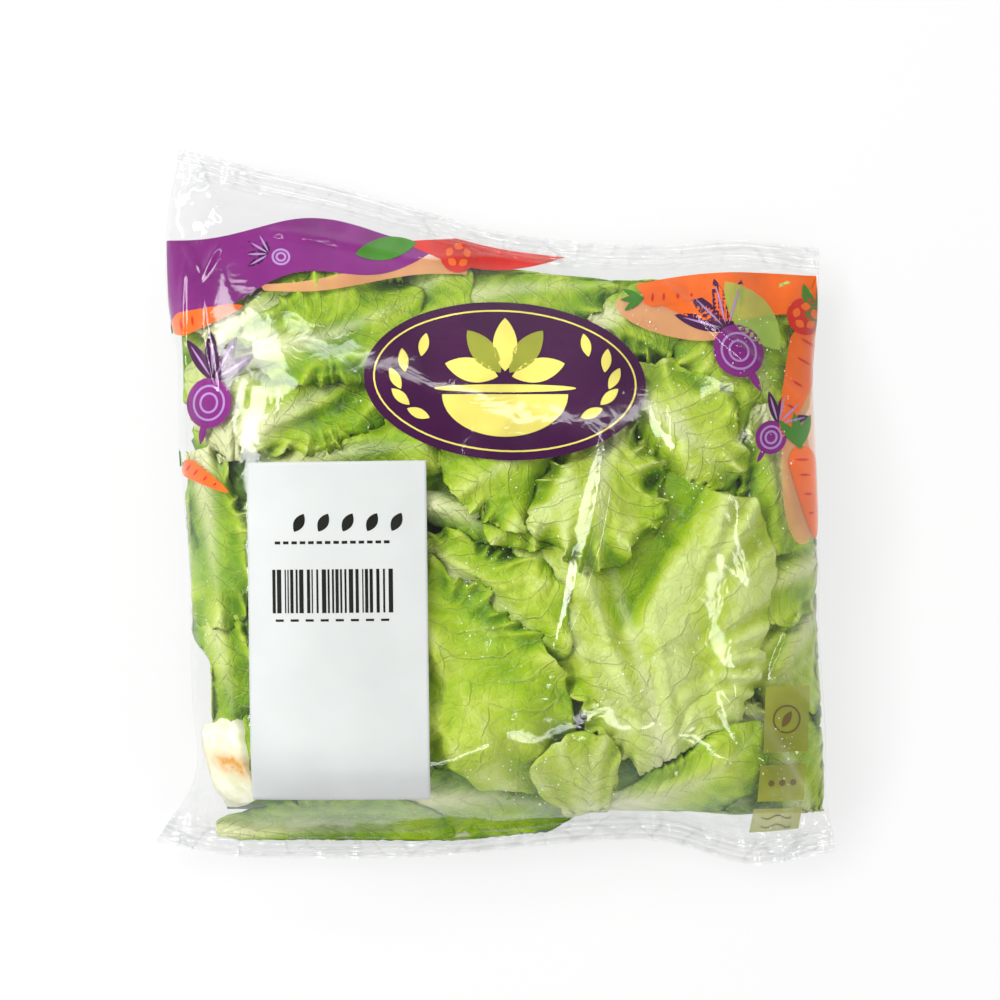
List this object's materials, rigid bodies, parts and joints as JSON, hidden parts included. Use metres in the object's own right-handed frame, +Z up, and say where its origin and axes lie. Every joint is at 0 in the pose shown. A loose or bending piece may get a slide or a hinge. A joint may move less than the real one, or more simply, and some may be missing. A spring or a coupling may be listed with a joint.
{
  "type": "bag of salad leaves",
  "caption": "Clear sealed pillow bag full of green lettuce leaves, lying on its back, with crimped end seals, a printed front and a white paper label.",
  "frame": {"origin": "under the middle of the pack's box, on the surface that the pack lies on", "axes": "+Z up out of the printed front, +Y towards the pack's top end, +X to the right as the front is seen"},
  "size_m": [0.2354, 0.25, 0.0575],
  "materials": {
    "clear_film": "clear glossy film over green leaves",
    "label_paper": "smooth white paper",
    "lettuce_leaf": "fresh waxy leaf",
    "print_ink": "ink under clear film"
  },
  "bodies": {
    "root": {"bag": "clear_film", "label": "label_paper"}
  },
  "joints": []
}
